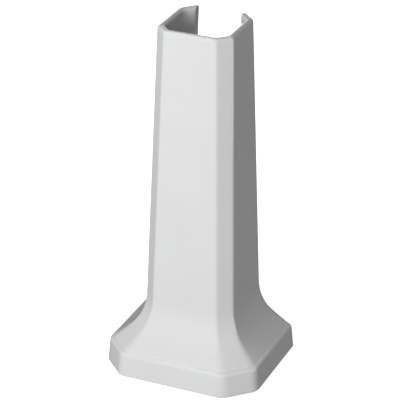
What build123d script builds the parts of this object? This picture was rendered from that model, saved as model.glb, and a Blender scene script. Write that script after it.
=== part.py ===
"""Pedestal column for a wash basin, with the kit that fixes it to the floor.

The column is one hollow casting: a tapering shaft with cut-off corners, a flare, a plinth,
an open top and an open back. Two lugs inside the back of the foot take the floor fixings.

Millimetres. X runs to the right, Y towards the wall behind, Z up. The origin is on the
floor, in the middle of the foot's width and depth.
"""

from build123d import *
import math
import os

# Overall sizes
height = 680
foot_width = 312
foot_depth = 239
rim_width = 150
rim_depth = 146

# The shaft's faces are straight from the rim to the flare. These two are where they would
# reach the floor if they went on.
shaft_width_at_floor = 187
shaft_depth_at_floor = 180

# Cut-off corners, as the length taken off each face
front_corner_at_rim = 24
front_corner_at_floor = 25
front_corner_of_foot = 53
rear_corner_at_rim = 28
rear_corner_at_floor = 19
# The rear corner's cut runs out above the foot, which is square there: less than nothing
rear_corner_of_foot = -20.32

# Flare and plinth
flare_height = 134
plinth_height = 44
plinth_draft = 5
flare_end_slope = 31
plinth_edge_radius = 9.5
flare_pull_down = 0.5
flare_pull_in = 0.35

# Casting
wall = 14
crease_radius = 8
inner_crease_radius = 10
rim_radius = 5
back_land = 2

# Floor fixings
lug_spacing = 184
lug_back_distance = 22
lug_depth = 44
lug_thickness = 14
lug_half_width = 16
lug_corner_radius = 6
stud_radius = 3
stud_end_height = 26
sleeve_bore_clearance = 0.4
sleeve_wall = 3.1
sleeve_to_lug_clearance = 0.5
sleeve_floor_gap = 1.0
shoulder_radius = 11
shoulder_thickness = 2.5
washer_bore_clearance = 0.2
washer_radius = 9
washer_thickness = 1.6
nut_across_flats = 10
nut_thickness = 5
nut_thread_bite = 0.05
nut_corner_chamfer = 0.5
cap_grip_clearance = 0.3
cap_wall = 1.8
cap_stud_clearance = 1.5
cap_edge_radius = 4

# Positions that follow from the sizes above
rear = foot_depth / 2
over = 2
reach = foot_width + foot_depth
upright_climb = 0.3
lug_x = lug_spacing / 2
lug_y = rear - wall - lug_back_distance
sleeve_bore_radius = stud_radius + sleeve_bore_clearance
sleeve_radius = sleeve_bore_radius + sleeve_wall
washer_bore_radius = stud_radius + washer_bore_clearance
nut_bore_radius = stud_radius - nut_thread_bite
shoulder_top = lug_thickness + shoulder_thickness
washer_top = shoulder_top + washer_thickness
nut_top = washer_top + nut_thickness
cap_inner_radius = shoulder_radius + cap_grip_clearance
cap_outer_radius = cap_inner_radius + cap_wall
cap_ceiling = stud_end_height + cap_stud_clearance
cap_top = cap_ceiling + cap_wall


os.makedirs("parts", exist_ok=True)


def finish(piece, name):
    """Label a finished piece with its name and write it out."""
    piece.part.label = name
    export_step(piece.part, f"parts/{name}.step")


def across_corner(side, end, leg):
    """Distance of a cut-off corner from the origin, from its two faces and its leg."""
    return (side + end - leg) / math.sqrt(2)


def column_faces():
    """Each face's compass angle, and its distance out at the rim, the floor line and the foot."""
    side = (rim_width / 2, shaft_width_at_floor / 2, foot_width / 2)
    front = (rim_depth - rear, shaft_depth_at_floor - rear, foot_depth / 2)
    front_legs = (front_corner_at_rim, front_corner_at_floor, front_corner_of_foot)
    rear_legs = (rear_corner_at_rim, rear_corner_at_floor, rear_corner_of_foot)
    front_corner = [across_corner(s, f, leg) for s, f, leg in zip(side, front, front_legs)]
    rear_corner = [across_corner(s, rear, leg) for s, leg in zip(side, rear_legs)]
    return [
        (0, *side),
        (180, *side),
        (-90, *front),
        (-45, *front_corner),
        (-135, *front_corner),
        (45, *rear_corner),
        (135, *rear_corner),
    ]


def standing_plane(angle):
    """Upright plane whose x direction points out at this angle, set back clear of the column."""
    outward = Vector(1, 0, 0).rotate(Axis.Z, angle)
    sideways = outward.cross(Vector(0, 0, 1))
    return Plane(origin=sideways * -reach, x_dir=outward, z_dir=sideways)


def flared_outline(at_rim, at_floor, at_foot, inset, low, high):
    """Lines round everything behind one face: plinth, its round edge, the flare and the shaft."""
    rim = at_rim - inset
    foot = at_foot - inset
    floor = at_floor - inset
    radius = plinth_edge_radius if inset == 0 else plinth_edge_radius / 2
    slope = math.radians(flare_end_slope)
    draft = math.radians(plinth_draft)
    lean = (rim - floor) / height
    corner_height = plinth_height - inset * math.cos(slope)
    corner = Vector(foot - corner_height * math.tan(draft), corner_height)
    inward = Vector(-math.cos(slope), math.sin(slope))
    downward = Vector(math.sin(draft), -math.cos(draft))
    cut_back = radius / math.tan(math.radians(inward.get_angle(downward)) / 2)
    edge_start = corner + downward * cut_back
    edge_end = corner + inward * cut_back
    flare_top = Vector(floor + lean * flare_height, flare_height)
    drop = flare_pull_down * (flare_height - corner_height)
    pull = flare_pull_in * (foot - floor)
    foot_point = Vector(foot + low * -math.tan(draft), low)
    rim_point = Vector(rim + lean * (high - height), high)
    Line(foot_point, edge_start)
    TangentArc(edge_start, edge_end, tangent=-downward)
    Bezier(edge_end, edge_end + inward * pull, flare_top - Vector(lean, 1) * drop, flare_top)
    Line(flare_top, rim_point)
    Polyline(rim_point, (-reach, high), (-reach, low), foot_point)


def cut_to_faces(inset, low, high):
    """Cut the part in hand back to the column's seven faces, each moved in by the inset."""
    for angle, at_rim, at_floor, at_foot in column_faces():
        with BuildSketch(standing_plane(angle)) as outline:
            with BuildLine():
                flared_outline(at_rim, at_floor, at_foot, inset, low, high)
            make_face()
        extrude(outline.sketch, amount=2 * reach, mode=Mode.INTERSECT)


def upright_edges(piece):
    """Edges that climb steeply enough to be creases between neighbouring faces."""
    return piece.edges().filter_by(
        lambda e: abs((e @ 1 - e @ 0).normalized().Z) > upright_climb
    )


# The hollow inside the column, open at the floor and at the rim
with BuildPart() as hollow:
    with Locations((0, 0, -over)):
        Box(
            foot_width,
            foot_depth - 2 * wall,
            height + 2 * over,
            align=(Align.CENTER, Align.CENTER, Align.MIN),
        )
    cut_to_faces(wall, -over, height + over)
    above_plinth = upright_edges(hollow).filter_by(lambda e: e.center().Z > plinth_height)
    fillet(above_plinth, radius=inner_crease_radius)

# The gap up the column's back. It leaves a narrow land beyond each rear corner.
gap_half_at_rim = rim_width / 2 - rear_corner_at_rim - back_land
gap_half_at_floor = shaft_width_at_floor / 2 - rear_corner_at_floor - back_land
gap_lean = (gap_half_at_rim - gap_half_at_floor) / height
with BuildPart() as back_gap:
    with BuildSketch(Plane.XZ.offset(-rear - over)):
        with BuildLine():
            low_half = gap_half_at_floor - gap_lean * over
            high_half = gap_half_at_rim + gap_lean * over
            Polyline(
                (-low_half, -over),
                (low_half, -over),
                (high_half, height + over),
                (-high_half, height + over),
                close=True,
            )
        make_face()
    extrude(amount=rear_corner_at_rim + 2 * wall)

# One lug, on the right: a shelf that joins the foot's side and back walls
with BuildPart() as lug:
    with BuildSketch():
        with BuildLine():
            Polyline(
                (lug_x - lug_half_width, lug_y - lug_depth / 2),
                (foot_width / 2 - wall / 2, lug_y - lug_depth / 2),
                (foot_width / 2 - wall / 2, rear - wall / 2),
                (lug_x - lug_half_width, rear - wall / 2),
                close=True,
            )
        make_face()
    extrude(amount=lug_thickness)
    free_corner = lug.edges().filter_by(Axis.Z).sort_by_distance((0, 0, 0))[0]
    fillet(free_corner, radius=lug_corner_radius)
    with Locations((lug_x, lug_y, lug_thickness)):
        Hole(radius=sleeve_radius + sleeve_to_lug_clearance, depth=lug_thickness)

# Column
with BuildPart() as pedestal:
    Box(foot_width, foot_depth, height, align=(Align.CENTER, Align.CENTER, Align.MIN))
    cut_to_faces(0, 0, height)
    creases = upright_edges(pedestal).filter_by(lambda e: e.center().Y < rear - back_land / 4)
    fillet(creases, radius=crease_radius)
    add(hollow.part, mode=Mode.SUBTRACT)
    fillet(pedestal.faces().sort_by(Axis.Z)[-1].edges(), radius=rim_radius)
    add(back_gap.part, mode=Mode.SUBTRACT)
    add(lug.part)
    add(lug.part.mirror(Plane.YZ))
finish(pedestal, "pedestal")

# Floor fixings, one set on each lug
for side, x in (("left", -lug_x), ("right", lug_x)):
    with BuildPart() as sleeve:
        with BuildSketch(Plane((x, lug_y, sleeve_floor_gap))):
            Circle(sleeve_radius)
        extrude(amount=lug_thickness - sleeve_floor_gap)
        with BuildSketch(Plane((x, lug_y, lug_thickness))):
            Circle(shoulder_radius)
        extrude(amount=shoulder_thickness)
        with Locations((x, lug_y, shoulder_top)):
            Hole(radius=sleeve_bore_radius, depth=shoulder_top)
    finish(sleeve, f"fixing_sleeve_{side}")

    with BuildPart() as washer:
        with BuildSketch(Plane((x, lug_y, shoulder_top))):
            Circle(washer_radius)
            Circle(washer_bore_radius, mode=Mode.SUBTRACT)
        extrude(amount=washer_thickness)
    finish(washer, f"fixing_washer_{side}")

    with BuildPart() as nut:
        with BuildSketch(Plane((x, lug_y, washer_top))):
            RegularPolygon(nut_across_flats / 2, side_count=6, major_radius=False)
        extrude(amount=nut_thickness)
        top_and_bottom = nut.edges().group_by(Axis.Z)[0] + nut.edges().group_by(Axis.Z)[-1]
        chamfer(top_and_bottom, length=nut_corner_chamfer)
        with Locations((x, lug_y, nut_top)):
            Hole(radius=nut_bore_radius, depth=nut_thickness)
    finish(nut, f"fixing_nut_{side}")

    with BuildPart() as cap:
        with BuildSketch(Plane((x, lug_y, lug_thickness))):
            Circle(cap_outer_radius)
        extrude(amount=cap_top - lug_thickness)
        fillet(cap.faces().sort_by(Axis.Z)[-1].edges(), radius=cap_edge_radius)
        offset(amount=-cap_wall, openings=cap.faces().sort_by(Axis.Z)[0])
    finish(cap, f"cover_cap_{side}")
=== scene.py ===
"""Metres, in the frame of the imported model: X to the right, Y towards the wall behind, Z up,
with the origin on the floor under the middle of the foot.
"""

import logging
import math
from dataclasses import dataclass, field
from enum import Enum, StrEnum
from typing import Any, Sequence

import bmesh
import bpy
from bpy.types import Material, Mesh, Node, NodeSocket, NodeTree, Object
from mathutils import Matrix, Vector


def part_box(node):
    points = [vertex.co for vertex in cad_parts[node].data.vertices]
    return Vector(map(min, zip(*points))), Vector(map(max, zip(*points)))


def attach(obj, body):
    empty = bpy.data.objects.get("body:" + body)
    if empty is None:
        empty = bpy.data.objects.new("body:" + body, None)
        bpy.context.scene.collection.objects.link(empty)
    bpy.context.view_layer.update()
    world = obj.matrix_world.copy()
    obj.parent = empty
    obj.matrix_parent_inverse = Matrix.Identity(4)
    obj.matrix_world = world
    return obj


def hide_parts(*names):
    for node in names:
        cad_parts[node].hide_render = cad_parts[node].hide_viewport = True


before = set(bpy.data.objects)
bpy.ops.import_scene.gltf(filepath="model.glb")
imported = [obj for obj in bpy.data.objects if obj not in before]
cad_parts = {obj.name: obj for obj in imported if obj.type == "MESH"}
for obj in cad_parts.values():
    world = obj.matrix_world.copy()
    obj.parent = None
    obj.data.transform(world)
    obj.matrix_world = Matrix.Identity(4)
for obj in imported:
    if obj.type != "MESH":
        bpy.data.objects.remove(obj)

log = logging.getLogger("pedestal")
MM = 0.001
MERGE_DISTANCE = 0.0005 * MM
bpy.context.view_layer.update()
Triple = tuple[float, float, float]
SOCKET_TYPES = {
    float: "NodeSocketFloat",
    int: "NodeSocketInt",
    list: "NodeSocketVector",
    Material: "NodeSocketMaterial",
}


class Body(Enum):
    """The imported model's bodies that pieces ride on."""

    COLUMN = "column"
    LEFT_CAP = "cap_left"
    RIGHT_CAP = "cap_right"


class Slot(Enum):
    """Names of the pieces' material slots."""

    CHINA = "glazed_china"
    NYLON = "nylon"
    STEEL = "zinc_steel"
    CAP = "cap_plastic"


class Side(StrEnum):
    """Which of the two floor fixings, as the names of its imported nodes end."""

    LEFT = "left"
    RIGHT = "right"


class Boolean(Enum):
    """What a closed tool does to the object that it meets."""

    JOIN = "UNION"
    CUT = "DIFFERENCE"


# ---------------------------------------------------------------- shared helpers


def linear(hex_colour: str) -> tuple[float, float, float, float]:
    """Turn an sRGB hex colour into linear RGBA.

    Args:
        hex_colour: Colour as "#RRGGBB".

    Returns:
        Linear red, green and blue with an alpha of one.
    """
    channels = [int(hex_colour[i : i + 2], 16) / 255 for i in (1, 3, 5)]
    red, green, blue = (
        c / 12.92 if c <= 0.04045 else ((c + 0.055) / 1.055) ** 2.4 for c in channels
    )
    return red, green, blue, 1.0


def fill_inputs(tree: NodeTree, node: Node, inputs: dict[Any, Any] | Sequence[Any]) -> None:
    """Set or link a node's inputs.

    Args:
        tree: The node's tree.
        node: The node.
        inputs: Values, sockets or nodes for the inputs, in order or by name or index. A
            node stands for its first output, and None leaves an input alone.
    """
    pairs = inputs.items() if isinstance(inputs, dict) else enumerate(inputs)
    for key, value in pairs:
        if isinstance(value, Node):
            value = value.outputs[0]
        if isinstance(value, NodeSocket):
            tree.links.new(value, node.inputs[key])
        elif value is not None:
            node.inputs[key].default_value = value


def add_node(
    tree: NodeTree, kind: str, inputs: dict[Any, Any] | Sequence[Any] = (), **settings: Any
) -> Node:
    """Add one node, set its options, and fill or link its inputs.

    Args:
        tree: Node tree that gets the node.
        kind: The node's type name.
        inputs: What goes into its inputs, as fill_inputs takes it.
        **settings: Properties of the node itself.

    Returns:
        The new node.
    """
    node = tree.nodes.new(kind)
    for key, value in settings.items():
        setattr(node, key, value)
    fill_inputs(tree, node, inputs)
    return node


def add_chain(
    tree: NodeTree, kind: str, known: dict[Any, Any], steps: dict[str, tuple[Any, ...]]
) -> None:
    """Add nodes of one kind in order, each under a name that later ones can link to.

    Args:
        tree: Node tree that gets the nodes.
        kind: The nodes' type name.
        known: Sockets and nodes by name. Each new node is added to it.
        steps: For each new name the node's operation, then its inputs in order, each a
            number or a known name.
    """
    for name, (operation, *values) in steps.items():
        inputs = [known.get(value, value) for value in values]
        known[name] = add_node(tree, kind, inputs, operation=operation)


def new_tree(name: str, values: dict[str, Any]) -> tuple[NodeTree, dict[Any, Any]]:
    """Start a Geometry Nodes tree with geometry in and out and an input for each value.

    Args:
        name: The tree's name.
        values: The values that the inputs will be given, which set their types.

    Returns:
        The tree, and the sockets of its inputs by name.
    """
    tree = bpy.data.node_groups.new(name, "GeometryNodeTree")
    tree.interface.new_socket("Geometry", in_out="INPUT", socket_type="NodeSocketGeometry")
    for label, value in values.items():
        kind = SOCKET_TYPES[type(value)]
        tree.interface.new_socket(label, in_out="INPUT", socket_type=kind)
    tree.interface.new_socket("Geometry", in_out="OUTPUT", socket_type="NodeSocketGeometry")
    return tree, dict(add_node(tree, "NodeGroupInput").outputs.items())


def end_tree(tree: NodeTree, shape: Node, material: NodeSocket) -> None:
    """Realize a tree's shape, dress it in its material and hand it out."""
    whole = add_node(tree, "GeometryNodeRealizeInstances", [shape])
    dressed = add_node(
        tree, "GeometryNodeSetMaterial", {"Geometry": whole, "Material": material}
    )
    add_node(tree, "NodeGroupOutput", [dressed])


def mesh_object(name: str, mesh: Mesh) -> Object:
    """Link a new object that shows this mesh, at the origin."""
    obj = bpy.data.objects.new(name, mesh)
    bpy.context.scene.collection.objects.link(obj)
    return obj


def run_tree(obj: Object, tree: NodeTree, values: dict[str, Any]) -> None:
    """Run a Geometry Nodes tree on an object and keep the result as its plain mesh.

    Args:
        obj: Object whose mesh goes into the tree.
        tree: The tree.
        values: A value for each of the tree's inputs, by its name.
    """
    modifier = obj.modifiers.new(tree.name, "NODES")
    modifier.node_group = tree
    for item in tree.interface.items_tree:
        if item.in_out == "INPUT" and item.name in values:
            modifier[item.identifier] = values[item.name]
    apply_modifiers(obj)


def apply_modifiers(obj: Object) -> None:
    """Replace an object's mesh by its evaluated mesh and drop its modifiers."""
    graph = bpy.context.evaluated_depsgraph_get()
    result = bpy.data.meshes.new_from_object(obj.evaluated_get(graph), depsgraph=graph)
    obj.modifiers.clear()
    obj.data = result
    result.name = obj.name


def combine(obj: Object, tool: Object, operation: Boolean) -> None:
    """Join a closed tool to an object, or cut it away, and drop the tool."""
    modifier = obj.modifiers.new(tool.name, "BOOLEAN")
    modifier.operation = operation.value
    modifier.solver = "EXACT"
    modifier.object = tool
    apply_modifiers(obj)
    bpy.data.objects.remove(tool)


def round_edges(
    work: bmesh.types.BMesh, edges: list[bmesh.types.BMEdge], reach: float, segments: int
) -> None:
    """Round edges of a mesh with arcs that reach this far along the faces beside them."""
    bmesh.ops.bevel(
        work, geom=edges, offset=reach, segments=segments, profile=0.5, affect="EDGES"
    )


def rounded_loop(
    corners: Sequence[tuple[float, float]], cuts: Sequence[float], steps: int = 4
) -> list[Vector]:
    """A closed outline of radius and height with its corners rounded.

    Args:
        corners: Radius and height of each corner.
        cuts: How far each corner's rounding reaches along the lines beside it.
        steps: Lines in each rounding.

    Returns:
        Points with the radius as x and the height as z.
    """
    points = [Vector((r, 0, z)) for r, z in corners]
    loop: list[Vector] = []
    for index, (corner, cut) in enumerate(zip(points, cuts)):
        if not cut:
            loop.append(corner)
            continue
        before = (points[index - 1] - corner).normalized()
        after = (points[(index + 1) % len(points)] - corner).normalized()
        loop += conic(corner + before * cut, corner, corner + after * cut, steps)
    return loop


def conic(begin: Vector, corner: Vector, end: Vector, steps: int) -> list[Vector]:
    """Points of the arc that rounds a corner, both ends included."""
    to_begin, to_end = (begin - corner).normalized(), (end - corner).normalized()
    weight = math.sqrt(max(0.0, (1 - to_begin.dot(to_end)) / 2))
    points = []
    for i in range(steps + 1):
        t = i / steps
        shares = ((1 - t) ** 2, 2 * weight * t * (1 - t), t**2)
        mixed = begin * shares[0] + corner * shares[1] + end * shares[2]
        points.append(mixed / sum(shares))
    return points


def turned_mesh(name: str, loop: Sequence[Vector], centre: Vector, segments: int) -> Mesh:
    """Turn an outline about an upright axis into a closed mesh.

    Args:
        name: The mesh's name.
        loop: Closed outline, with the radius as x and the height as z, in millimetres.
        centre: Point of the axis, in millimetres.
        segments: Flat pieces round the axis.

    Returns:
        The closed mesh in metres, with its normals outward.
    """
    rings = []
    for i in range(segments):
        turn = math.tau * i / segments
        rings.append(
            [centre + Vector((p.x * math.cos(turn), p.x * math.sin(turn), p.z)) for p in loop]
        )
    return ring_mesh(name, rings)


def ring_mesh(name: str, rings: Sequence[Sequence[Vector]]) -> Mesh:
    """Join closed outlines that stand round an axis into a closed mesh.

    Args:
        name: The mesh's name.
        rings: The outlines in order round the axis, in millimetres, all of one length.

    Returns:
        The closed mesh in metres, with its normals outward.
    """
    segments, ring = len(rings), len(rings[0])
    points = [point * MM for outline in rings for point in outline]
    faces = [
        (
            i * ring + j,
            i * ring + (j + 1) % ring,
            (i + 1) % segments * ring + (j + 1) % ring,
            (i + 1) % segments * ring + j,
        )
        for i in range(segments)
        for j in range(ring)
    ]
    mesh = bpy.data.meshes.new(name)
    mesh.from_pydata(points, [], faces)
    work = bmesh.new()
    work.from_mesh(mesh)
    bmesh.ops.remove_doubles(work, verts=work.verts[:], dist=MERGE_DISTANCE)
    bmesh.ops.dissolve_degenerate(work, edges=work.edges[:], dist=MERGE_DISTANCE)
    on_axis = [edge for edge in work.edges if not edge.link_faces]
    bmesh.ops.delete(work, geom=on_axis, context="EDGES")
    bmesh.ops.recalc_face_normals(work, faces=work.faces[:])
    work.to_mesh(mesh)
    work.free()
    return mesh


# ---------------------------------------------------------------- finishes


@dataclass(frozen=True)
class Finish:
    """A surface whose tone clouds between two colours under a fine grain.

    Each real finish is a subclass with its own values. Without an IOR of its own it keeps
    the shader's, as metals do.
    """

    name: str = ""
    colour: str = "#FFFFFF"
    shade: str = "#FFFFFF"
    ior: float | None = None
    metallic: float = 0.0
    roughness: float = 0.4
    rough_spread: tuple[float, float] = (-0.05, 0.08)
    noise_span: tuple[float, float] = (0.3, 0.7)
    cloud_mm: float = 10.0
    cloud_detail: float = 2.0
    grain_mm: float = 1.0
    grain_detail: float = 3.0
    grain_strength: float = 0.2
    grain_height_mm: float = 0.03

    def material(self) -> Material:
        """Build the material, whose patterns read Object coordinates."""
        made = bpy.data.materials.new(self.name)
        made.use_nodes = True
        tree = made.node_tree
        place = add_node(tree, "ShaderNodeTexCoord").outputs["Object"]
        cloud, grain = (
            add_node(
                tree,
                "ShaderNodeTexNoise",
                {"Vector": place, "Scale": 1 / (size * MM), "Detail": detail},
            )
            for size, detail in (
                (self.cloud_mm, self.cloud_detail), (self.grain_mm, self.grain_detail)
            )
        )
        tone = add_node(
            tree,
            "ShaderNodeMix",
            {0: cloud, 6: linear(self.shade), 7: linear(self.colour)},
            data_type="RGBA",
        )
        known = {"place": place, "colour": tone.outputs[2], "grain": grain}
        self.add_layers(tree, known)
        skin = add_node(
            tree,
            "ShaderNodeBump",
            {
                "Strength": self.grain_strength,
                "Distance": self.grain_height_mm * MM,
                "Height": grain,
                "Normal": known.get("waves"),
            },
        )
        inputs = {"Base Color": known["colour"], "Roughness": known["rough"], "Normal": skin}
        inputs |= {"Metallic": self.metallic, "IOR": self.ior}
        fill_inputs(tree, tree.nodes["Principled BSDF"], inputs)
        return made

    def add_layers(self, tree: NodeTree, known: dict[str, Any]) -> None:
        """Add what the grain lies on.

        Args:
            tree: The material's tree.
            known: Its sockets and nodes by name. It gains "rough", and "waves" where
                waves lie under the grain.
        """
        limits = [self.roughness + spread for spread in self.rough_spread]
        values = [known["grain"], *self.noise_span, *limits]
        known["rough"] = add_node(tree, "ShaderNodeMapRange", values)


@dataclass(frozen=True)
class GlazedChina(Finish):
    """Vitreous china, slip cast and fired under a white opaque glaze.

    The glaze is a glassy, slightly uneven skin over a white body. It lies a little thicker
    in places, which shows as clouds as wide as a hand and as soft waves in what it
    reflects. It is wiped off the foot ring, where the dry body shows.
    """

    name: str = "glazed_vitreous_china"
    colour: str = "#E6E7E7"
    shade: str = "#DDDEDD"
    ior: float | None = 1.52
    roughness: float = 0.09
    cloud_mm: float = 1000 / 9
    grain_mm: float = 4.5
    grain_detail: float = 2.0
    grain_strength: float = 0.10
    grain_height_mm: float = 0.05
    ripple_mm: float = 38.0
    ripple_detail: float = 1.0
    ripple_strength: float = 0.25
    ripple_height_mm: float = 0.4
    dry_body: str = "#CFC9BD"
    dry_roughness: float = 0.8
    dry_ring_mm: float = 1.6
    dry_ring_full: float = 0.6

    def add_layers(self, tree: NodeTree, known: dict[str, Any]) -> None:
        """Add the dry foot ring just above the floor, and slow waves from casting.

        Args:
            tree: The material's tree.
            known: Its sockets and nodes by name.
        """
        place, top = known["place"], self.dry_ring_mm * MM
        height = add_node(tree, "ShaderNodeSeparateXYZ", [place]).outputs["Z"]
        span = [self.dry_ring_full * top, top]
        dry = add_node(tree, "ShaderNodeMapRange", [height, *span, 1, 0])
        noise = {"Vector": place, "Scale": 1 / (self.ripple_mm * MM)}
        noise["Detail"] = self.ripple_detail
        ripple = add_node(tree, "ShaderNodeTexNoise", noise)
        body = {0: dry, 6: known["colour"], 7: linear(self.dry_body)}
        known["colour"] = add_node(tree, "ShaderNodeMix", body, data_type="RGBA").outputs[2]
        limits = [self.roughness, self.dry_roughness]
        known["rough"] = add_node(tree, "ShaderNodeMapRange", [dry, 0.0, 1.0, *limits])
        height = self.ripple_height_mm * MM
        waves = {"Strength": self.ripple_strength, "Distance": height, "Height": ripple}
        known["waves"] = add_node(tree, "ShaderNodeBump", waves)


@dataclass(frozen=True)
class MouldedNylon(Finish):
    """Natural nylon, injection moulded: warm off-white with its mould's spark texture."""

    name: str = "moulded_nylon"
    colour: str = "#E4DFD0"
    shade: str = "#D9D3C2"
    ior: float | None = 1.53
    roughness: float = 0.42
    cloud_mm: float = 1000 / 90
    grain_mm: float = 0.9


@dataclass(frozen=True)
class MouldedPolypropylene(Finish):
    """White polypropylene from a polished mould: smooth and waxy, with slow flow marks."""

    name: str = "moulded_polypropylene"
    colour: str = "#EDEDEA"
    shade: str = "#E2E2DE"
    ior: float | None = 1.49
    roughness: float = 0.3
    cloud_mm: float = 1000 / 90
    grain_mm: float = 1.4


@dataclass(frozen=True)
class ZincPlatedSteel(Finish):
    """Steel, bright zinc plated and blue passivated.

    The plating is a satin metal with a faint cloudy tone and the fine lines of tumbling.
    """

    name: str = "zinc_plated_steel"
    colour: str = "#C6CACE"
    shade: str = "#A9AFB6"
    metallic: float = 1.0
    roughness: float = 0.3
    rough_spread: tuple[float, float] = (-0.08, 0.1)
    cloud_mm: float = 3.0
    cloud_detail: float = 3.0
    grain_mm: float = 0.35
    grain_detail: float = 2.0
    grain_height_mm: float = 0.02


# ---------------------------------------------------------------- the column


@dataclass(frozen=True)
class Section:
    """Half of one level section of the column's wall, on the right of the middle.

    The half runs from the edge of the back gap to the middle of the front: gap edge, rear
    corner's two creases, front corner's two creases, middle. Millimetres.
    """

    side: float
    front: float
    front_corner: float
    rear_corner: float
    gap: float
    creases: tuple[float, ...]
    inner_creases: tuple[float, ...]
    inner_end: float
    inner_rear_corner: float
    rear: float
    wall: float
    inner_land: float

    def outer(self) -> list[Vector]:
        """Corner points of the outer face."""
        return [
            Vector((self.gap, self.rear, 0)),
            Vector((self.side - self.rear_corner, self.rear, 0)),
            Vector((self.side, self.rear - self.rear_corner, 0)),
            Vector((self.side, self.front_corner - self.front, 0)),
            Vector((self.side - self.front_corner, -self.front, 0)),
            Vector((0, -self.front, 0)),
        ]

    def inner(self) -> list[Vector]:
        """Corner points of the face inside the hollow."""
        side = self.side - self.wall
        front = self.front - self.wall
        corner = self.front_corner - (2 - math.sqrt(2)) * self.wall
        rear_crease = Vector((side, self.inner_end + self.gap - side, 0))
        if self.inner_rear_corner:
            rear_crease = Vector((side, self.inner_end - self.inner_rear_corner, 0))
            land = Vector((side - self.inner_rear_corner, self.inner_end, 0))
        else:
            end = Vector((self.gap, self.inner_end, 0))
            land = end + (rear_crease - end).normalized() * self.inner_land
        return [
            Vector((self.gap, self.inner_end, 0)),
            land,
            rear_crease,
            Vector((side, corner - front, 0)),
            Vector((side - corner, -front, 0)),
            Vector((0, -front, 0)),
        ]


@dataclass
class Stations:
    """How one half of the wall is divided along its length.

    The same divisions serve every section, so that the sections can be mixed point by
    point.
    """

    end_radius: float = 1.0
    end_support: float = 0.4
    end_steps: int = 4
    crease_steps: int = 6
    margin: float = 2.5
    spans: tuple[int, ...] = (2, 7, 15, 8, 10)

    def pinches(self) -> list[float]:
        """How far the wall's outline shrinks at each station, from the gap edge on."""
        arc = [
            self.end_radius * (1 - math.sin(math.pi / 2 * i / self.end_steps))
            for i in range(self.end_steps + 1)
        ]
        return [self.end_radius + self.end_support, *arc]

    def walk(self, corners: list[Vector], cuts: Sequence[float]) -> list[Vector]:
        """Points along one outline, with its creases rounded.

        Args:
            corners: The outline's corner points.
            cuts: How far each inner corner's rounding reaches along the faces beside it.

        Returns:
            The points, from the gap edge to the middle of the front.
        """
        start = corners[0]
        along = (corners[1] - start).normalized()
        points = [start.copy()]
        for i in range(self.end_steps + 1):
            turn = math.pi / 2 * i / self.end_steps
            points.append(start + along * self.end_radius * (1 - math.cos(turn)))
        for index, span in enumerate(self.spans):
            here, there = corners[index], corners[index + 1]
            last = index == len(self.spans) - 1
            end = there if last else there - (there - here).normalized() * cuts[index]
            points += self.straight(points[-1], end, span, last)
            if not last:
                points += self.rounding(here, there, corners[index + 2], cuts[index])
        return points

    def straight(
        self, begin: Vector, end: Vector, span: int, to_middle: bool
    ) -> list[Vector]:
        """Points after begin up to end, with a narrow strip beside each crease."""
        length = (end - begin).length
        margin = min(self.margin, length / 4)
        way = (end - begin).normalized()
        near = begin + way * margin
        far = end if to_middle else end - way * margin
        points = [near.lerp(far, i / span) for i in range(span + 1)]
        return points if to_middle else [*points, end]

    def rounding(
        self, before: Vector, corner: Vector, after: Vector, cut: float
    ) -> list[Vector]:
        """Points of the arc that rounds one crease, after its first point."""
        begin = corner + (before - corner).normalized() * cut
        end = corner + (after - corner).normalized() * cut
        return conic(begin, corner, end, self.crease_steps)[1:]


@dataclass
class WallProfile:
    """The wall's outline across its thickness, from the floor to the rim and back.

    A row is counted from 0 at the floor to 1 and 2 at the start and end of the plinth's
    round edge, 3 at the top of the flare and 4 at the rim. The foot's radius is more than
    the wall's ends are pinched, because the faces there would collapse. Millimetres.
    """

    wall: float = 14.0
    rim_radius: float = 6.7
    foot_radius: float = 1.6
    arc_steps: int = 7
    plinth_rows: tuple[float, ...] = (0.12, 0.3, 0.5, 0.7, 0.85, 0.94, 1.0)
    edge_rows: int = 14
    flare_rows: int = 32
    flare_crowding: float = 1.25
    shaft_rows: int = 44

    def side_rows(self) -> list[float]:
        """Rows of one face of the wall between its roundings, crowded above the plinth."""
        edge = [1 + i / self.edge_rows for i in range(1, self.edge_rows + 1)]
        flare = [
            2 + (i / self.flare_rows) ** self.flare_crowding
            for i in range(1, self.flare_rows + 1)
        ]
        shaft = [3 + i / self.shaft_rows for i in range(1, self.shaft_rows)]
        return [*self.plinth_rows, *edge, *flare, *shaft]

    def arc(self, radius: float) -> list[tuple[float, float, float, float]]:
        """Points of a quarter round, from the face of the wall to its edge.

        Args:
            radius: The quarter round's radius.

        Returns:
            For each point its depth in from the face and from the edge, then the share of
            the face's and of the edge's direction in its normal.
        """
        turns = [math.pi / 2 * i / self.arc_steps for i in range(self.arc_steps + 1)]
        return [
            (radius * (1 - math.cos(a)), radius * (1 - math.sin(a)), math.cos(a), math.sin(a))
            for a in turns
        ]

    def points(self) -> list[tuple[float, float, float, float, float]]:
        """The outline as a closed loop.

        Returns:
            For each point its depth in the wall, its row, its lift from that row, and the
            part of its outward normal along the depth and along the height.
        """
        foot = [
            (d, 0.0, e, -nd, -ne) for d, e, nd, ne in reversed(self.arc(self.foot_radius))
        ]
        face = [(0.0, row, 0.0, -1.0, 0.0) for row in self.side_rows()]
        rim = [(d, 4.0, -e, -nd, ne) for d, e, nd, ne in self.arc(self.rim_radius)]
        outer = [*foot, *face, *rim]
        inner = [(self.wall - d, r, lift, -nd, nz) for d, r, lift, nd, nz in reversed(outer)]
        return [*outer, *inner]


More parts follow.
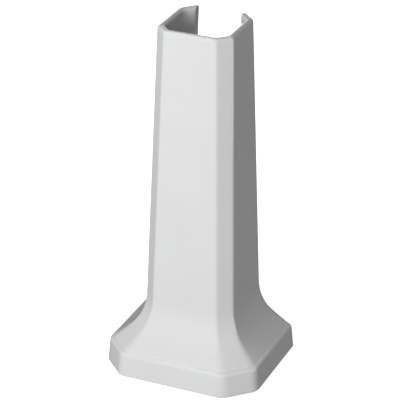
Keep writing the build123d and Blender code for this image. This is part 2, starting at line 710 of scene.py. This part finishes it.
@dataclass
class PedestalColumn:
    """The china column: tapering shaft, flare and plinth round one C-shaped wall.

    Millimetres, as measured out from the middle of the foot.
    """

    side: Triple = (75.0, 93.5, 156.0)
    front: Triple = (26.5, 60.5, 119.5)
    front_corner: Triple = (24.0, 25.0, 50.0)
    rear_corner: Triple = (25.0, 17.5, 3.0)
    gap: Triple = (45.0, 72.5, 72.5)
    inner_end: Triple = (101.7, 101.7, 105.5)
    inner_rear_corner: Triple = (0.0, 0.0, 10.0)
    inner_land: float = 3.0
    crease_cuts: tuple[tuple[float, ...], ...] = (
        (0.35, 10.0, 3.6, 3.6), (0.35, 6.0, 3.6, 3.6), (1.2, 1.2, 12.0, 12.0)
    )
    inner_crease_cuts: tuple[tuple[float, ...], ...] = (
        (0.8, 9.0, 4.1, 4.1), (0.8, 3.4, 4.1, 4.1), (4.1, 4.1, 4.1, 4.1)
    )
    flare_height: float = 141.0
    plinth_height: float = 48.5
    plinth_draft: float = 5.0
    flare_end_slope: float = 42.0
    flare_pull_down: float = 0.62
    flare_pull_in: float = 0.42
    flare_reach: float = 62.5
    edge_cut: float = 6.5
    ledge: float = 5.0
    ledge_run_up: float = 2.2
    inner_rounding_loss: float = 0.04
    waviness: float = 0.3
    wave_scale: float = 9.0
    seed: int = 7
    wall: float = 14.0
    lug_half_width: float = 16.0
    lug_depth: float = 44.0
    lug_thickness: float = 14.0
    lug_lift: float = 0.5
    lug_corner: float = 6.0
    lug_corner_steps: int = 8
    lug_edge: float = 1.2
    lug_edge_steps: int = 4
    lug_hole: float = 7.0
    lug_hole_span: tuple[float, float] = (-5.0, 30.0)
    lug_hole_steps: int = 64
    sharp_angle: float = 40.0
    finish: GlazedChina = field(default_factory=GlazedChina)
    stations: Stations = field(default_factory=Stations)
    profile: WallProfile = field(default_factory=WallProfile)

    def sections(self) -> list[Section]:
        """The wall's section at the rim, on the floor line of the shaft, and at the foot."""
        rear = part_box("pedestal")[1].y / MM
        levels = zip(
            self.side,
            self.front,
            self.front_corner,
            self.rear_corner,
            self.gap,
            self.crease_cuts,
            self.inner_crease_cuts,
            self.inner_end,
            self.inner_rear_corner,
        )
        return [Section(*level, rear, self.wall, self.inner_land) for level in levels]

    def grid(self) -> Mesh:
        """The closed wall as a mesh whose points carry their place in each section.

        Returns:
            A mesh with the attributes that the flared column tree reads.
        """
        walks = []
        for section in self.sections():
            outer = self.stations.walk(section.outer(), section.creases)
            inner = self.stations.walk(section.inner(), section.inner_creases)
            walks.append(list(zip(outer, inner)))
        half = len(walks[0])
        mirror = Vector((-1, 1, 1))
        walks = [
            [*walk, *((a * mirror, b * mirror) for a, b in reversed(walk[:-1]))]
            for walk in walks
        ]
        pinches = self.stations.pinches()
        pinches += [0.0] * (half - len(pinches))
        pinches += list(reversed(pinches[:-1]))
        loop = self.profile.points()
        rows: list[Triple] = []
        places: list[list[Vector]] = [[], [], []]
        for station, pinch in enumerate(pinches):
            for depth, row, lift, across, up in loop:
                deep = (depth - pinch * across) / self.wall
                rows.append((row, lift - pinch * up, deep * self.wall))
                for level, walk in enumerate(walks):
                    outside, inside = walk[station]
                    places[level].append(outside.lerp(inside, deep) * MM)
        mesh = bpy.data.meshes.new("pedestal_wall")
        mesh.from_pydata(places[1], [], self.faces(len(pinches), len(loop)))
        for index, name in enumerate(("row", "lift", "depth")):
            layer = mesh.attributes.new(name, "FLOAT", "POINT")
            layer.data.foreach_set("value", [r[index] for r in rows])
        for level, name in enumerate(("at_rim", "at_floor", "at_foot")):
            layer = mesh.attributes.new(name, "FLOAT_VECTOR", "POINT")
            layer.data.foreach_set("vector", [c for p in places[level] for c in p])
        return mesh

    def faces(self, stations: int, ring: int) -> list[tuple[int, ...]]:
        """Faces of the wall: one strip between stations, and a cap across each end."""
        faces = []
        for s in range(stations - 1):
            for p in range(ring):
                q = (p + 1) % ring
                a, b = s * ring, (s + 1) * ring
                faces.append((a + p, a + q, b + q, b + p))
        for start, flip in ((0, False), ((stations - 1) * ring, True)):
            for p in range(ring // 2 - 1):
                quad = (start + p, start + ring - 1 - p, start + ring - 2 - p, start + p + 1)
                faces.append(tuple(reversed(quad)) if flip else quad)
        return faces

    def inputs(self) -> dict[str, Any]:
        """The values of the flared column tree's inputs."""
        return {
            "Height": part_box("pedestal")[1].z,
            "Flare height": self.flare_height * MM,
            "Plinth height": self.plinth_height * MM,
            "Flare reach": self.flare_reach * MM,
            "Plinth draft": self.plinth_draft,
            "Flare end slope": self.flare_end_slope,
            "Pull down": self.flare_pull_down,
            "Pull in": self.flare_pull_in,
            "Edge cut": self.edge_cut * MM,
            "Ledge": self.ledge * MM,
            "Ledge run-up": self.ledge_run_up * MM,
            "Waviness": self.waviness * MM,
            "Seed": self.seed,
            "Glaze": self.finish.material(),
        }

    def tree(self, values: dict[str, Any]) -> NodeTree:
        """The rule of the column's shape, as a Geometry Nodes tree.

        Each point lies between its places on the shaft's straight line and at the foot.
        The share of the foot follows a hollow curve above the plinth and the plinth's
        drafted face below. Between them a narrow ledge turns over a round edge.

        Args:
            values: The values that its inputs will be given.

        Returns:
            The tree.
        """
        tree, known = new_tree("flared_column", values)
        for name in ("row", "lift", "depth"):
            known[name] = add_node(
                tree, "GeometryNodeInputNamedAttribute", [name], data_type="FLOAT"
            )
        rim, floor, foot = (
            add_node(
                tree, "GeometryNodeInputNamedAttribute", [name], data_type="FLOAT_VECTOR"
            )
            for name in ("at_rim", "at_floor", "at_foot")
        )
        add_chain(
            tree,
            "ShaderNodeMath",
            known,
            {
                "slope": ("RADIANS", "Flare end slope"),
                "slope in": ("COSINE", "slope"),
                "slope out": ("MULTIPLY", "slope in", -1.0),
                "slope up": ("SINE", "slope"),
                "inward": ("DIVIDE", "slope out", "Flare reach"),
                "draft": ("RADIANS", "Plinth draft"),
                "draft tangent": ("TANGENT", "draft"),
                "draft out": ("DIVIDE", "draft tangent", "Flare reach"),
                "draft in": ("MULTIPLY", "draft out", -1.0),
                # The inner face has its plinth corner lower, and rounded less
                "set down": ("MULTIPLY", "depth", MM),
                "corner height": ("MULTIPLY_ADD", "set down", "slope out", "Plinth height"),
                "scale": ("MULTIPLY_ADD", "depth", -self.inner_rounding_loss, 1.0),
                "cut": ("MULTIPLY", "Edge cut", "scale"),
                "ledge": ("MULTIPLY", "Ledge", "scale"),
                "run-up": ("MULTIPLY", "Ledge run-up", "scale"),
                # The ends and handles of the two curves, each a share and a height
                "corner share": ("MULTIPLY_ADD", "corner height", "draft in", 1.0),
                "edge foot height": ("SUBTRACT", "corner height", "cut"),
                "edge foot share": ("MULTIPLY_ADD", "cut", "draft out", "corner share"),
                "ledge width": ("DIVIDE", "ledge", "Flare reach"),
                "ledge share": ("SUBTRACT", "corner share", "ledge width"),
                "start share": ("MULTIPLY_ADD", "run-up", "inward", "ledge share"),
                "start height": ("MULTIPLY_ADD", "run-up", "slope up", "corner height"),
                "pull": ("MULTIPLY", "Pull in", "Flare reach"),
                "pull share": ("MULTIPLY_ADD", "pull", "inward", "start share"),
                "pull height": ("MULTIPLY_ADD", "pull", "slope up", "start height"),
                "rise": ("SUBTRACT", "Flare height", "start height"),
                "drop": ("MULTIPLY", "Pull down", -1.0),
                "drop height": ("MULTIPLY_ADD", "rise", "drop", "Flare height"),
                # How far the row is along each stretch of the wall
                "edge row": ("SUBTRACT", "row", 1.0),
                "flare row": ("SUBTRACT", "row", 2.0),
                "shaft row": ("SUBTRACT", "row", 3.0),
                "up to edge": ("MINIMUM", "row", 1.0),
                "below edge": ("SUBTRACT", "up to edge", 1.0),
                "under": ("MULTIPLY", "edge foot height", "below edge"),
                "above flare": ("MAXIMUM", "shaft row", 0.0),
                "shaft": ("SUBTRACT", "Height", "Flare height"),
                "in shaft": ("MULTIPLY", "shaft", "above flare"),
            },
        )
        curves = {
            "edge": (
                ("edge foot share", "edge foot height"),
                ("corner share", "corner height"),
                ("ledge share", "corner height"),
                ("start share", "start height"),
            ),
            "flare": (
                ("start share", "start height"),
                ("pull share", "pull height"),
                (None, "drop height"),
                (None, "Flare height"),
            ),
        }
        for name, ends in curves.items():
            points = [(known.get(share), known[up]) for share, up in ends]
            curve = self.curve(tree, points, known[f"{name} row"])
            known[f"{name} in"], known[f"{name} up"] = curve
        # Each curve in turn takes the row on from where the one before it ended
        add_chain(
            tree,
            "ShaderNodeMath",
            known,
            {
                "to edge": ("ADD", "under", "edge up"),
                "of flare": ("SUBTRACT", "flare up", "start height"),
                "to flare": ("ADD", "to edge", "of flare"),
                "to shaft": ("ADD", "to flare", "in shaft"),
                "height": ("MULTIPLY_ADD", "lift", MM, "to shaft"),
                "flare move": ("SUBTRACT", "flare in", "start share"),
                "move": ("ADD", "edge in", "flare move"),
                "share": ("MULTIPLY_ADD", "under", "draft in", "move"),
                "up": ("DIVIDE", "height", "Height"),
                "sink": ("MULTIPLY", "Waviness", -1.0),
            },
        )
        shaft = add_node(
            tree,
            "ShaderNodeMix",
            {0: known["up"], 4: floor, 5: rim},
            data_type="VECTOR",
            clamp_factor=False,
        )
        place = add_node(
            tree,
            "ShaderNodeMix",
            {0: known["share"], 4: shaft.outputs[1], 5: foot},
            data_type="VECTOR",
        )
        flat = add_node(tree, "ShaderNodeSeparateXYZ", [place.outputs[1]]).outputs
        place = add_node(
            tree, "ShaderNodeCombineXYZ", [flat["X"], flat["Y"], known["height"]]
        )
        moved = {"Geometry": known["Geometry"], "Position": place}
        shaped = add_node(tree, "GeometryNodeSetPosition", moved)
        # Casting leaves the wall slightly wavy. The waves only go inwards.
        known["noise"] = add_node(
            tree,
            "ShaderNodeTexNoise",
            {
                "Vector": add_node(tree, "GeometryNodeInputPosition"),
                "W": known["Seed"],
                "Scale": self.wave_scale,
                "Detail": 1.0,
            },
            noise_dimensions="4D",
        )
        add_chain(tree, "ShaderNodeMath", known, {"wave": ("MULTIPLY", "noise", "sink")})
        push = add_node(
            tree,
            "ShaderNodeVectorMath",
            {0: add_node(tree, "GeometryNodeInputNormal"), "Scale": known["wave"]},
            operation="SCALE",
        )
        wavy = add_node(tree, "GeometryNodeSetPosition", {"Geometry": shaped, "Offset": push})
        smooth = add_node(tree, "GeometryNodeSetShadeSmooth", {"Geometry": wavy})
        end_tree(tree, smooth, known["Glaze"])
        return tree

    def curve(
        self, tree: NodeTree, ends: Sequence[Sequence[Any]], row: NodeSocket
    ) -> tuple[NodeSocket, NodeSocket]:
        """A Bezier curve in the tree, held at its ends outside its own row.

        Args:
            tree: The tree.
            ends: The control points, each a share of the foot and a height.
            row: How far along the curve, from 0 to 1.

        Returns:
            The share and the height at that row.
        """
        step = add_node(tree, "ShaderNodeClamp", [row, 0.0, 1.0]).outputs[0]
        points = [
            add_node(tree, "ShaderNodeCombineXYZ", [share, None, up]).outputs[0]
            for share, up in ends
        ]
        while len(points) > 1:
            points = [
                add_node(
                    tree, "ShaderNodeMix", {0: step, 4: a, 5: b}, data_type="VECTOR"
                ).outputs[1]
                for a, b in zip(points, points[1:])
            ]
        parts = add_node(tree, "ShaderNodeSeparateXYZ", points).outputs
        return parts["X"], parts["Z"]

    def lug(self, side: int) -> Object:
        """One lug: a shelf cast into the foot's rear corner, with a hole for its fixing.

        Args:
            side: 1 for the right, -1 for the left.

        Returns:
            The lug as a loose object, which reaches into the walls beside it.
        """
        low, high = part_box("fixing_sleeve_right")
        centre = (low + high) / 2 / MM
        free, back = centre.x - self.lug_half_width, centre.y - self.lug_depth / 2
        in_side = self.side[2] - self.wall / 2
        in_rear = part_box("pedestal")[1].y / MM - self.wall / 2
        plan = [(free, back), (in_side, back), (in_side, in_rear), (free, in_rear)]
        work = bmesh.new()
        base = work.faces.new(
            [work.verts.new((side * x * MM, y * MM, self.lug_lift * MM)) for x, y in plan]
        )
        grown = bmesh.ops.extrude_face_region(work, geom=[base])["geom"]
        raised = [part for part in grown if isinstance(part, bmesh.types.BMVert)]
        rise = (self.lug_thickness - self.lug_lift) * MM
        bmesh.ops.translate(work, verts=raised, vec=(0, 0, rise))
        corner = [
            e
            for e in work.edges
            if abs(e.verts[0].co.z - e.verts[1].co.z) > rise / 2
            and abs(e.verts[0].co.x * side - free * MM) < MM
            and abs(e.verts[0].co.y - back * MM) < MM
        ]
        round_edges(work, corner, self.lug_corner * MM, self.lug_corner_steps)
        level = [
            e for e in work.edges if abs(e.verts[0].co.z - e.verts[1].co.z) < MERGE_DISTANCE
        ]
        round_edges(work, level, self.lug_edge * MM, self.lug_edge_steps)
        bmesh.ops.recalc_face_normals(work, faces=work.faces[:])
        mesh = bpy.data.meshes.new("lug")
        work.to_mesh(mesh)
        work.free()
        lug = mesh_object("lug", mesh)
        start, end = self.lug_hole_span
        outline = [(0, start), (self.lug_hole, start), (self.lug_hole, end), (0, end)]
        pin = turned_mesh(
            "lug_hole",
            [Vector((radius, 0, z)) for radius, z in outline],
            Vector((side * centre.x, centre.y, 0)),
            self.lug_hole_steps,
        )
        combine(lug, mesh_object("lug_hole", pin), Boolean.CUT)
        return lug

    def build(self) -> Object:
        """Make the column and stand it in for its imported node.

        Returns:
            The finished piece.
        """
        column = mesh_object("pedestal_column", self.grid())
        values = self.inputs()
        run_tree(column, self.tree(values), values)
        for side in (1, -1):
            lug = self.lug(side)
            lug.data.materials.append(column.data.materials[0])
            combine(column, lug, Boolean.JOIN)
        column.data.shade_smooth()
        column.data.set_sharp_from_angle(angle=math.radians(self.sharp_angle))
        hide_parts("pedestal")
        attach(column, Body.COLUMN.value)
        return column


# ---------------------------------------------------------------- the floor fixings


@dataclass
class FloorFixing:
    """One floor fixing on its lug: nylon sleeve, washer, nut and cover cap. Millimetres."""

    side: Side
    cap_body: Body
    nylon: Material
    steel: Material
    plastic: Material
    segments: int = 96
    sharp_angle: float = 32.0
    sleeve_bore: float = 3.4
    sleeve_radius: float = 6.5
    sleeve_rounding: tuple[float, ...] = (0.3, 0.6, 0.0, 0.4, 0.6, 0.4)
    shoulder_thickness: float = 2.5
    washer_bore: float = 3.2
    washer_rounding: tuple[float, ...] = (0.1, 0.1, 0.45, 0.3)
    nut_flats: float = 10.0
    nut_face: float = 0.97
    nut_chamfer_angle: float = 30.0
    bore_chamfer: float = 0.45
    bore_land: float = 0.1
    thread_root: float = 2.95
    thread_crest: float = 2.5
    thread_pitch: float = 1.0
    thread_steps: int = 24
    cap_wall: float = 1.8
    cap_edge: float = 4.0
    cap_lip: float = 0.4
    cap_crease: float = 2.0
    cap_arc_steps: int = 8
    wall_rows: int = 12
    cap_crown: float = 0.35
    rib_count: int = 6
    rib_depth: float = 1.5
    rib_width: float = 1.1
    rib_root: float = 1.8
    rib_gap: float = 0.6
    rib_ramp: float = 1.5
    rib_limit: float = 0.9

    def box(self, part: str) -> tuple[Vector, Vector]:
        """Lowest and highest corner of one of this fixing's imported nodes."""
        low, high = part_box(f"{part}_{self.side}")
        return low / MM, high / MM

    def centre(self, part: str) -> Vector:
        """Point on the floor under the part's middle."""
        low, high = self.box(part)
        return Vector(((low.x + high.x) / 2, (low.y + high.y) / 2, 0))

    def place(self, mesh: Mesh, part: str, body: Body, slot: Slot, made: Material) -> Object:
        """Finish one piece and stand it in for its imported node."""
        piece = mesh_object(mesh.name, mesh)
        if not mesh.materials:
            mesh.materials.append(made)
        mesh.shade_smooth()
        mesh.set_sharp_from_angle(angle=math.radians(self.sharp_angle))
        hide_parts(f"{part}_{self.side}")
        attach(piece, body.value)
        return piece

    def sleeve(self) -> Object:
        """Nylon sleeve: a tube through the lug, with a flat shoulder on top of it."""
        low, high = self.box("fixing_sleeve")
        shoulder = (high.x - low.x) / 2
        under = high.z - self.shoulder_thickness
        outline = [
            (self.sleeve_bore, low.z),
            (self.sleeve_radius, low.z),
            (self.sleeve_radius, under),
            (shoulder, under),
            (shoulder, high.z),
            (self.sleeve_bore, high.z),
        ]
        mesh = self.turned("sleeve", rounded_loop(outline, self.sleeve_rounding))
        return self.place(mesh, "fixing_sleeve", Body.COLUMN, Slot.NYLON, self.nylon)

    def washer(self) -> Object:
        """Plain steel washer, its upper edges rounded by the press."""
        low, high = self.box("fixing_washer")
        bore, radius = self.washer_bore, (high.x - low.x) / 2
        outline = [(bore, low.z), (radius, low.z), (radius, high.z), (bore, high.z)]
        mesh = self.turned("washer", rounded_loop(outline, self.washer_rounding))
        return self.place(mesh, "fixing_washer", Body.COLUMN, Slot.STEEL, self.steel)

    def turned(self, name: str, loop: Sequence[Vector]) -> Mesh:
        """Turn an outline round the axis of the sleeve or washer that has this name."""
        centre = self.centre(f"fixing_{name}")
        return turned_mesh(f"{name}_{self.side}", loop, centre, self.segments)

    def nut(self) -> Object:
        """Hexagon nut: six flats, corners chamfered on a cone, and a thread in the bore."""
        low, high = self.box("fixing_nut")
        centre = self.centre("fixing_nut")
        turns, height = self.segments, high.z - low.z
        apothem = self.nut_flats / 2
        face = self.nut_face * apothem
        slope = math.tan(math.radians(self.nut_chamfer_angle))
        ends = ((high.z, -1), (low.z, 1))
        rings: list[list[Vector]] = []
        for i in range(turns):
            angle = math.tau * i / turns
            flat = (angle + math.pi / 6) % (math.pi / 3) - math.pi / 6
            corner = apothem / math.cos(flat)
            top, bottom = (z + k * slope * max(0.0, corner - face) for z, k in ends)
            ring = [(face, high.z), (corner, top), (corner, bottom), (face, low.z)]
            for k in range(self.thread_steps + 1):
                climb = k / self.thread_steps
                wave = abs(((climb * height / self.thread_pitch - i / turns) % 1.0) * 2 - 1)
                depth = self.thread_root + (self.thread_crest - self.thread_root) * wave
                flare = max(0.0, self.bore_chamfer - min(climb, 1 - climb) * height)
                bore = max(depth, self.thread_crest + flare + self.bore_land)
                ring.append((bore, low.z + climb * height))
            way = Vector((math.cos(angle), math.sin(angle), 0))
            rings.append([centre + way * r + Vector((0, 0, z)) for r, z in ring])
        mesh = ring_mesh(f"nut_{self.side}", rings)
        return self.place(mesh, "fixing_nut", Body.COLUMN, Slot.STEEL, self.steel)

    def rib_tree(self, values: dict[str, Any]) -> NodeTree:
        """The rule of the ribs inside the cap, as a Geometry Nodes tree.

        Points of the inner wall move towards the axis wherever one of the evenly spaced
        ribs stands, and less so at the ribs' lower ends.

        Args:
            values: The values that its inputs will be given.

        Returns:
            The tree.
        """
        tree, known = new_tree("ribbed_cap", values)
        known["inside"] = add_node(
            tree, "GeometryNodeInputNamedAttribute", ["inside"], data_type="FLOAT"
        )
        position = add_node(tree, "GeometryNodeInputPosition")
        arm = add_node(
            tree, "ShaderNodeVectorMath", [position, known["Centre"]], operation="SUBTRACT"
        )
        known |= add_node(tree, "ShaderNodeSeparateXYZ", [arm]).outputs.items()
        add_chain(
            tree,
            "ShaderNodeMath",
            known,
            {
                "angle": ("ARCTAN2", "Y", "X"),
                "spacing": ("DIVIDE", math.tau, "Ribs"),
                "ahead": ("MULTIPLY", "spacing", 0.5),
                "behind": ("MULTIPLY", "spacing", -0.5),
                "turned": ("WRAP", "angle", "ahead", "behind"),
                "from rib": ("ABSOLUTE", "turned"),
                "rib end": ("MULTIPLY", "Rib half angle", self.rib_root),
            },
        )
        known["stand"] = add_node(
            tree,
            "ShaderNodeMapRange",
            [known["from rib"], known["Rib half angle"], known["rib end"], 1.0, 0.0],
            interpolation_type="SMOOTHSTEP",
        )
        add_chain(
            tree,
            "ShaderNodeMath",
            known,
            {
                "standing": ("MULTIPLY", "stand", "inside"),
                "depth": ("MULTIPLY", "standing", "Rib depth"),
                "inward": ("MULTIPLY", "depth", -1.0),
            },
        )
        level = add_node(tree, "ShaderNodeCombineXYZ", [known["X"], known["Y"], 0.0])
        way = add_node(tree, "ShaderNodeVectorMath", [level], operation="NORMALIZE")
        push = add_node(
            tree,
            "ShaderNodeVectorMath",
            {0: way, "Scale": known["inward"]},
            operation="SCALE",
        )
        moved = add_node(
            tree, "GeometryNodeSetPosition", {"Geometry": known["Geometry"], "Offset": push}
        )
        end_tree(tree, moved, known["Plastic"])
        return tree

    def cap(self) -> Object:
        """Cover cap: a thin crowned cup over the nut, ribbed inside."""
        low, high = self.box("cover_cap")
        radius = (high.x - low.x) / 2
        inner = radius - self.cap_wall
        crown = high.z - self.cap_crown
        ceiling = crown - self.cap_wall
        rise = ceiling - self.cap_crease - low.z
        wall = [(inner, low.z + rise * k / self.wall_rows) for k in range(1, self.wall_rows)]
        outline = [(0, high.z), (radius, crown), (radius, low.z), (inner, low.z)]
        outline += [*wall, (inner, ceiling), (0, ceiling)]
        flat = (0.0,) * len(wall)
        cuts = (0.0, self.cap_edge, self.cap_lip, self.cap_lip, *flat, self.cap_crease, 0.0)
        loop = rounded_loop(outline, cuts, self.cap_arc_steps)
        centre = self.centre("cover_cap")
        mesh = turned_mesh("smooth_cap", loop, centre, 2 * self.segments)
        start = self.box("fixing_sleeve")[1].z + self.rib_gap
        shares = []
        for vertex in mesh.vertices:
            across = (vertex.co / MM - centre).to_2d().length
            height = vertex.co.z / MM
            is_wall = self.rib_limit * inner < across < inner + 0.01 and height < ceiling
            ramp = max(0.0, min(1.0, (height - start) / self.rib_ramp))
            shares.append(ramp if is_wall else 0.0)
        layer = mesh.attributes.new("inside", "FLOAT", "POINT")
        layer.data.foreach_set("value", shares)
        loose = mesh_object("loose_cap", mesh)
        values = {
            "Centre": [c * MM for c in centre],
            "Ribs": float(self.rib_count),
            "Rib depth": self.rib_depth * MM,
            "Rib half angle": self.rib_width / 2 / inner,
            "Plastic": self.plastic,
        }
        run_tree(loose, self.rib_tree(values), values)
        ribbed = loose.data
        bpy.data.objects.remove(loose)
        ribbed.name = f"floor_cap_{self.side}"
        return self.place(ribbed, "cover_cap", self.cap_body, Slot.CAP, self.plastic)

    def build(self) -> list[Object]:
        """Make the fixing's four pieces from the lug up."""
        return [self.sleeve(), self.washer(), self.nut(), self.cap()]


# ---------------------------------------------------------------- studio


@dataclass(frozen=True)
class SoftBox:
    """A rectangular soft light: power in watts, width and depth, and where it hangs.

    A light that is not reflected hangs behind a polariser: the glaze shows no image of it.
    """

    name: str
    power: float
    size: tuple[float, float]
    place: Triple
    target: Triple = (0.0, 0.0, 0.35)
    reflected: bool = True

    def hang(self) -> None:
        """Make the light and point it at its target."""
        data = bpy.data.lights.new(self.name, "AREA")
        data.shape = "RECTANGLE"
        data.size, data.size_y = self.size
        data.energy = self.power
        light = bpy.data.objects.new(self.name, data)
        bpy.context.scene.collection.objects.link(light)
        light.visible_glossy = self.reflected
        light.location = self.place
        light.rotation_mode = "QUATERNION"
        way = Vector(self.target) - Vector(self.place)
        light.rotation_quaternion = way.to_track_quat("-Z", "Y")


@dataclass
class Studio:
    """A pale floor, soft light and the camera. Metres and degrees."""

    aim: Triple = (0.0405, -0.0732, 0.3815)
    azimuth: float = 23.63
    elevation: float = 26.60
    distance: float = 4.049
    lens: float = 200.5
    sensor: float = 36.0
    clip_end: float = 50.0
    floor_half: float = 6.0
    floor_height: float = -0.0002
    floor_colour: str = "#E8E8E8"
    floor_glow: float = 0.93
    world_strength: float = 0.13
    lamps: tuple[SoftBox, ...] = (
        SoftBox("polarised_key", 59.5, (1.4, 1.1), (-0.20, -2.5, 1.0), reflected=False),
        SoftBox("right_fill", 13.5, (1.6, 1.2), (2.45, 0.25, 0.20)),
        SoftBox("overhead", 9.0, (1.3, 0.18), (-0.9, -0.37, 2.3), (-0.9, -0.369, 0.0)),
        SoftBox("back_fill", 12.0, (1.6, 1.6), (-0.9, 2.4, 0.7)),
    )

    def camera(self) -> None:
        """Make the scene's camera."""
        data = bpy.data.cameras.new("camera")
        data.sensor_width = self.sensor
        data.lens = self.lens
        data.clip_end = self.clip_end
        camera = bpy.data.objects.new("camera", data)
        bpy.context.scene.collection.objects.link(camera)
        turn, rise = math.radians(self.azimuth), math.radians(self.elevation)
        level = math.cos(rise)
        back = Vector((math.sin(turn) * level, -math.cos(turn) * level, math.sin(rise)))
        camera.location = Vector(self.aim) + back * self.distance
        camera.rotation_mode = "QUATERNION"
        camera.rotation_quaternion = (-back).to_track_quat("-Z", "Y")
        bpy.context.scene.camera = camera

    def world(self) -> None:
        """Fill the surroundings with an even white."""
        world = bpy.data.worlds.new("studio")
        bpy.context.scene.world = world
        world.use_nodes = True
        values = {"Color": linear("#FFFFFF"), "Strength": self.world_strength}
        fill_inputs(world.node_tree, world.node_tree.nodes["Background"], values)

    def floor(self) -> None:
        """Lay the floor: a pale sheet that glows a little, seen only directly."""
        ends = (-self.floor_half, self.floor_half)
        corners = [(x, y, self.floor_height) for y in ends for x in ends]
        mesh = bpy.data.meshes.new("floor")
        mesh.from_pydata(corners, [], [(0, 1, 3, 2)])
        floor = mesh_object("floor", mesh)
        sheet = bpy.data.materials.new("pale_paper")
        sheet.use_nodes = True
        values = {
            "Base Color": linear(self.floor_colour),
            "Roughness": 1.0,
            "Specular IOR Level": 0.0,
            "Emission Color": linear("#FFFFFF"),
            "Emission Strength": self.floor_glow,
        }
        fill_inputs(sheet.node_tree, sheet.node_tree.nodes["Principled BSDF"], values)
        mesh.materials.append(sheet)
        floor.visible_diffuse = False
        floor.visible_glossy = False

    def build(self) -> None:
        """Set up the whole studio."""
        bpy.context.scene.view_settings.view_transform = "Standard"
        self.camera()
        self.world()
        self.floor()
        for lamp in self.lamps:
            lamp.hang()


def main() -> None:
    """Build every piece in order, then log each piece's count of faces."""
    logging.basicConfig(level=logging.INFO, format="%(name)s: %(message)s")
    Studio().build()
    pieces = [PedestalColumn().build()]
    nylon = MouldedNylon().material()
    steel = ZincPlatedSteel().material()
    plastic = MouldedPolypropylene().material()
    for side, cap_body in ((Side.LEFT, Body.LEFT_CAP), (Side.RIGHT, Body.RIGHT_CAP)):
        pieces += FloorFixing(side, cap_body, nylon, steel, plastic).build()
    for piece in pieces:
        log.info("%s: %d faces", piece.name, len(piece.data.polygons))


if __name__ == "__main__":
    main()
